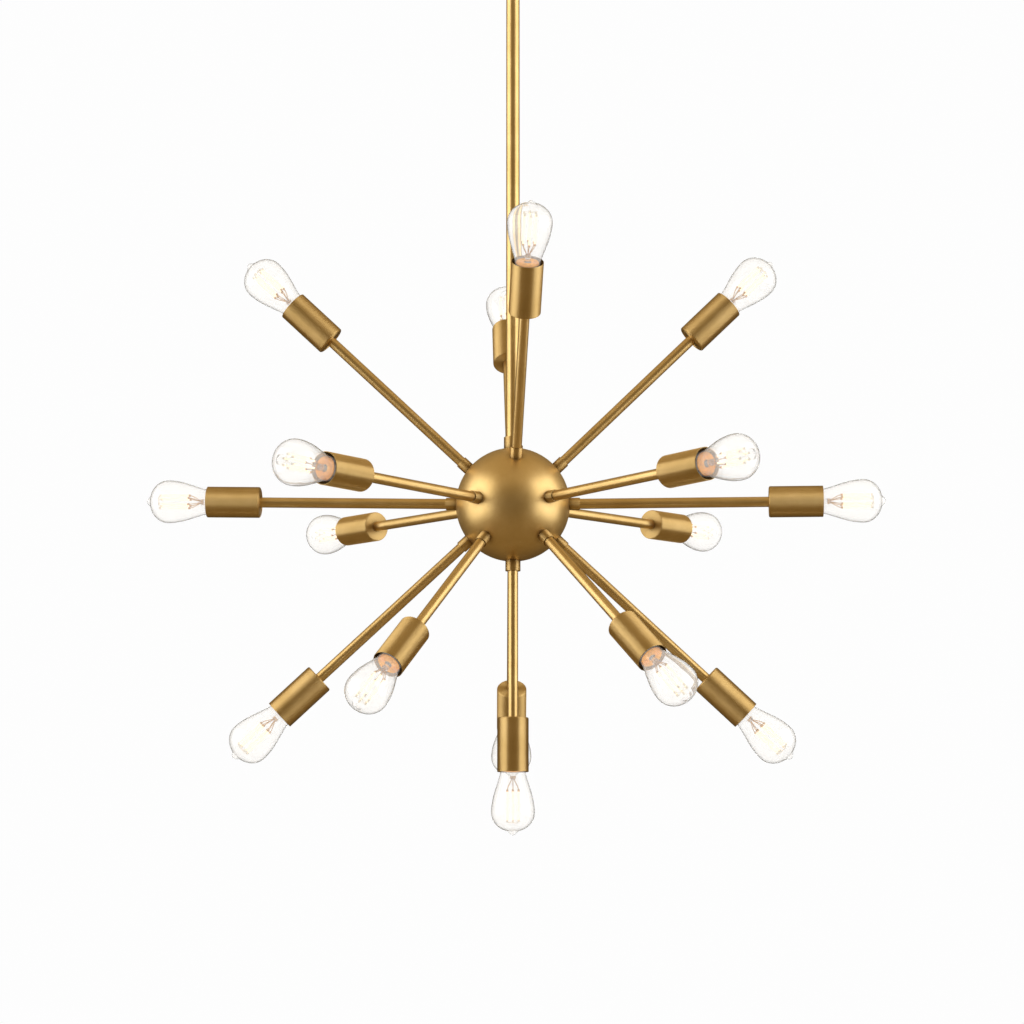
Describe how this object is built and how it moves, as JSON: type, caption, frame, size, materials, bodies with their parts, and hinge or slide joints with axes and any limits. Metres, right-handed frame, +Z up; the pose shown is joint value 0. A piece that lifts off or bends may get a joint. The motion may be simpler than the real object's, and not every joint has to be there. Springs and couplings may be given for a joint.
{
  "type": "multi arm chandelier",
  "caption": "Ball chandelier with straight tube arms, each ending in a round lamp cup with a clear pear lamp, hung on a rigid stem from a ball swivel in its canopy.",
  "frame": {"origin": "centre of the ceiling face of the mounting strap", "axes": "+Z up, towards the ceiling; -Y is the front, the side that the object is looked at from; +X is to the right seen from the front"},
  "size_m": [0.9808, 0.7169, 1.2255],
  "materials": {
    "satin_brass": "satin, lightly aged, brushed round the turned pieces and along the tubes",
    "plated_steel": "zinc plated, dull",
    "clear_glass": "clear, polished, with a lit warm filament inside"
  },
  "bodies": {
    "root": {"ceiling_strap": "plated_steel", "canopy": "satin_brass", "canopy_stud_left": "plated_steel", "canopy_stud_right": "plated_steel", "canopy_nut_left": "satin_brass", "canopy_nut_right": "satin_brass", "swivel_seat": "satin_brass"},
    "ball": {"swivel_ball": "plated_steel"},
    "pendant": {"stem_tube": "satin_brass", "stem_collar": "satin_brass", "stem_nut": "plated_steel", "hub_shell": "satin_brass", "arm_upper_left": "satin_brass", "arm_upper_right": "satin_brass", "arm_upper_front": "satin_brass", "arm_upper_back": "satin_brass", "arm_middle_left": "satin_brass", "arm_middle_right": "satin_brass", "arm_middle_front_left": "satin_brass", "arm_middle_front_right": "satin_brass", "arm_middle_back_left": "satin_brass", "arm_middle_back_right": "satin_brass", "arm_lower_left": "satin_brass", "arm_lower_right": "satin_brass", "arm_lower_front_left": "satin_brass", "arm_lower_front_right": "satin_brass", "arm_lower_back": "satin_brass", "arm_bottom": "satin_brass", "cup_upper_left": "satin_brass", "cup_upper_right": "satin_brass", "cup_upper_front": "satin_brass", "cup_upper_back": "satin_brass", "cup_middle_left": "satin_brass", "cup_middle_right": "satin_brass", "cup_middle_front_left": "satin_brass", "cup_middle_front_right": "satin_brass", "cup_middle_back_left": "satin_brass", "cup_middle_back_right": "satin_brass", "cup_lower_left": "satin_brass", "cup_lower_right": "satin_brass", "cup_lower_front_left": "satin_brass", "cup_lower_front_right": "satin_brass", "cup_lower_back": "satin_brass", "cup_bottom": "satin_brass"},
    "lamp_upper_left_body": {"lamp_upper_left": "clear_glass"},
    "lamp_upper_right_body": {"lamp_upper_right": "clear_glass"},
    "lamp_upper_front_body": {"lamp_upper_front": "clear_glass"},
    "lamp_upper_back_body": {"lamp_upper_back": "clear_glass"},
    "lamp_middle_left_body": {"lamp_middle_left": "clear_glass"},
    "lamp_middle_right_body": {"lamp_middle_right": "clear_glass"},
    "lamp_middle_front_left_body": {"lamp_middle_front_left": "clear_glass"},
    "lamp_middle_front_right_body": {"lamp_middle_front_right": "clear_glass"},
    "lamp_middle_back_left_body": {"lamp_middle_back_left": "clear_glass"},
    "lamp_middle_back_right_body": {"lamp_middle_back_right": "clear_glass"},
    "lamp_lower_left_body": {"lamp_lower_left": "clear_glass"},
    "lamp_lower_right_body": {"lamp_lower_right": "clear_glass"},
    "lamp_lower_front_left_body": {"lamp_lower_front_left": "clear_glass"},
    "lamp_lower_front_right_body": {"lamp_lower_front_right": "clear_glass"},
    "lamp_lower_back_body": {"lamp_lower_back": "clear_glass"},
    "lamp_bottom_body": {"lamp_bottom": "clear_glass"}
  },
  "joints": [
    {"name": "sway_left_right", "type": "hinge", "parent": "root", "child": "ball", "pos_m": [0, 0, -0.03], "axis": [0, 1, 0], "range_deg": [-8, 8]},
    {"name": "sway_front_back", "type": "hinge", "parent": "ball", "child": "pendant", "pos_m": [0, 0, -0.03], "axis": [1, 0, 0], "range_deg": [-8, 8]},
    {"name": "unscrew_upper_left", "type": "slide", "parent": "pendant", "child": "lamp_upper_left_body", "axis": [-0.7311, -0.0191, 0.682], "range_m": [0, 0.06]},
    {"name": "unscrew_upper_right", "type": "slide", "parent": "pendant", "child": "lamp_upper_right_body", "axis": [0.7192, 0.0126, 0.6947], "range_m": [0, 0.06]},
    {"name": "unscrew_upper_front", "type": "slide", "parent": "pendant", "child": "lamp_upper_front_body", "axis": [0.0525, -0.5995, 0.7986], "range_m": [0, 0.06]},
    {"name": "unscrew_upper_back", "type": "slide", "parent": "pendant", "child": "lamp_upper_back_body", "axis": [-0.0253, 0.5801, 0.8141], "range_m": [0, 0.06]},
    {"name": "unscrew_middle_left", "type": "slide", "parent": "pendant", "child": "lamp_middle_left_body", "axis": [-0.998, 0.061, 0.0175], "range_m": [0, 0.06]},
    {"name": "unscrew_middle_right", "type": "slide", "parent": "pendant", "child": "lamp_middle_right_body", "axis": [0.9976, -0.0698, 0], "range_m": [0, 0.06]},
    {"name": "unscrew_middle_front_left", "type": "slide", "parent": "pendant", "child": "lamp_middle_front_left_body", "axis": [-0.6088, -0.7934, 0], "range_m": [0, 0.06]},
    {"name": "unscrew_middle_front_right", "type": "slide", "parent": "pendant", "child": "lamp_middle_front_right_body", "axis": [0.6292, -0.777, 0.0175], "range_m": [0, 0.06]},
    {"name": "unscrew_middle_back_left", "type": "slide", "parent": "pendant", "child": "lamp_middle_back_left_body", "axis": [-0.6494, 0.7604, 0.0087], "range_m": [0, 0.06]},
    {"name": "unscrew_middle_back_right", "type": "slide", "parent": "pendant", "child": "lamp_middle_back_right_body", "axis": [0.656, 0.7546, 0.0175], "range_m": [0, 0.06]},
    {"name": "unscrew_lower_left", "type": "slide", "parent": "pendant", "child": "lamp_lower_left_body", "axis": [-0.7313, -0.0064, -0.682], "range_m": [0, 0.06]},
    {"name": "unscrew_lower_right", "type": "slide", "parent": "pendant", "child": "lamp_lower_right_body", "axis": [0.7312, 0.0128, -0.682], "range_m": [0, 0.06]},
    {"name": "unscrew_lower_front_left", "type": "slide", "parent": "pendant", "child": "lamp_lower_front_left_body", "axis": [-0.4516, -0.5677, -0.6884], "range_m": [0, 0.06]},
    {"name": "unscrew_lower_front_right", "type": "slide", "parent": "pendant", "child": "lamp_lower_front_right_body", "axis": [0.506, -0.5522, -0.6626], "range_m": [0, 0.06]},
    {"name": "unscrew_lower_back", "type": "slide", "parent": "pendant", "child": "lamp_lower_back_body", "axis": [-0.0059, 0.6756, -0.7373], "range_m": [0, 0.06]},
    {"name": "unscrew_bottom", "type": "slide", "parent": "pendant", "child": "lamp_bottom_body", "axis": [0, 0, -1], "range_m": [0, 0.06]}
  ]
}
